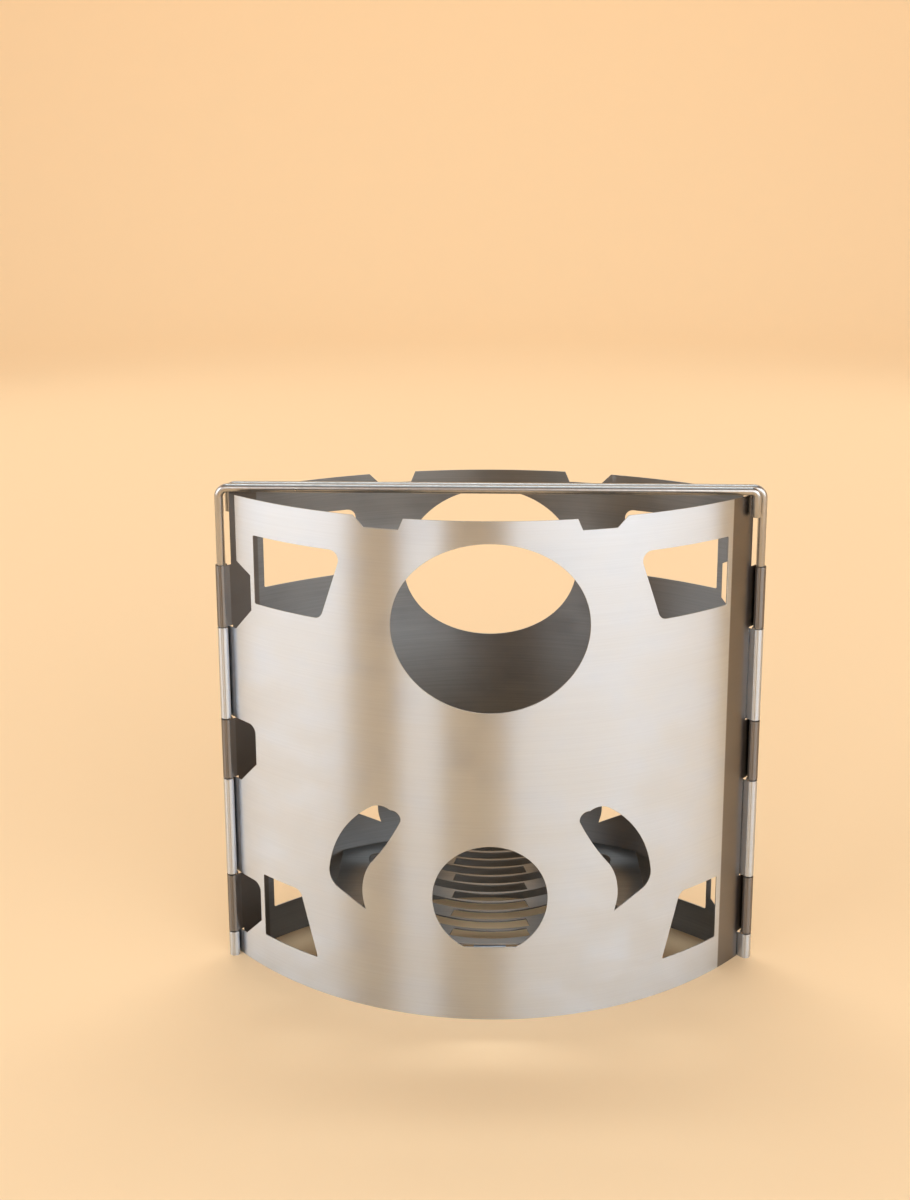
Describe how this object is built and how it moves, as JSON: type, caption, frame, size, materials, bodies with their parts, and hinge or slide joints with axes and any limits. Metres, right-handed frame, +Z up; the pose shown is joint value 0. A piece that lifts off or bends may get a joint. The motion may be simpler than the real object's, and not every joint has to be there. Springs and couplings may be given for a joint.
{
  "type": "folding campfire grill",
  "caption": "Flat-folding twig stove: two bowed steel sheets hinged on bent pot wires, a lens-shaped fire chamber and a lift-out slotted grate.",
  "frame": {"origin": "on the ground under the middle of the stove", "axes": "+X along the stove from the left corner to the right one, -Y towards the front wall, +Z up"},
  "size_m": [0.1776, 0.0644, 0.1651],
  "materials": {
    "front_sheet_steel": "bright sheet, brushed along its length",
    "rear_sheet_steel": "bright sheet, brushed along its length",
    "left_wire_steel": "drawn wire, smooth",
    "right_wire_steel": "drawn wire, smooth",
    "grate_steel": "laser-cut plate, dull"
  },
  "bodies": {
    "stand": {"front_wall": "front_sheet_steel", "rear_wall": "rear_sheet_steel"},
    "left_wire": {"pot_wire_left": "left_wire_steel"},
    "right_wire": {"pot_wire_right": "right_wire_steel"},
    "grate": {"fire_grate": "grate_steel"}
  },
  "joints": [
    {"name": "left_wire_swing", "type": "hinge", "parent": "stand", "child": "left_wire", "pos_m": [-0.08694, 0, 0], "axis": [0, 0, 1], "range_deg": [-150, 0]},
    {"name": "right_wire_swing", "type": "hinge", "parent": "stand", "child": "right_wire", "pos_m": [0.08694, 0, 0], "axis": [0, 0, 1], "range_deg": [-150, 0]},
    {"name": "grate_lift", "type": "slide", "parent": "stand", "child": "grate", "axis": [0, 0, 1], "range_m": [0, 0.12]}
  ]
}
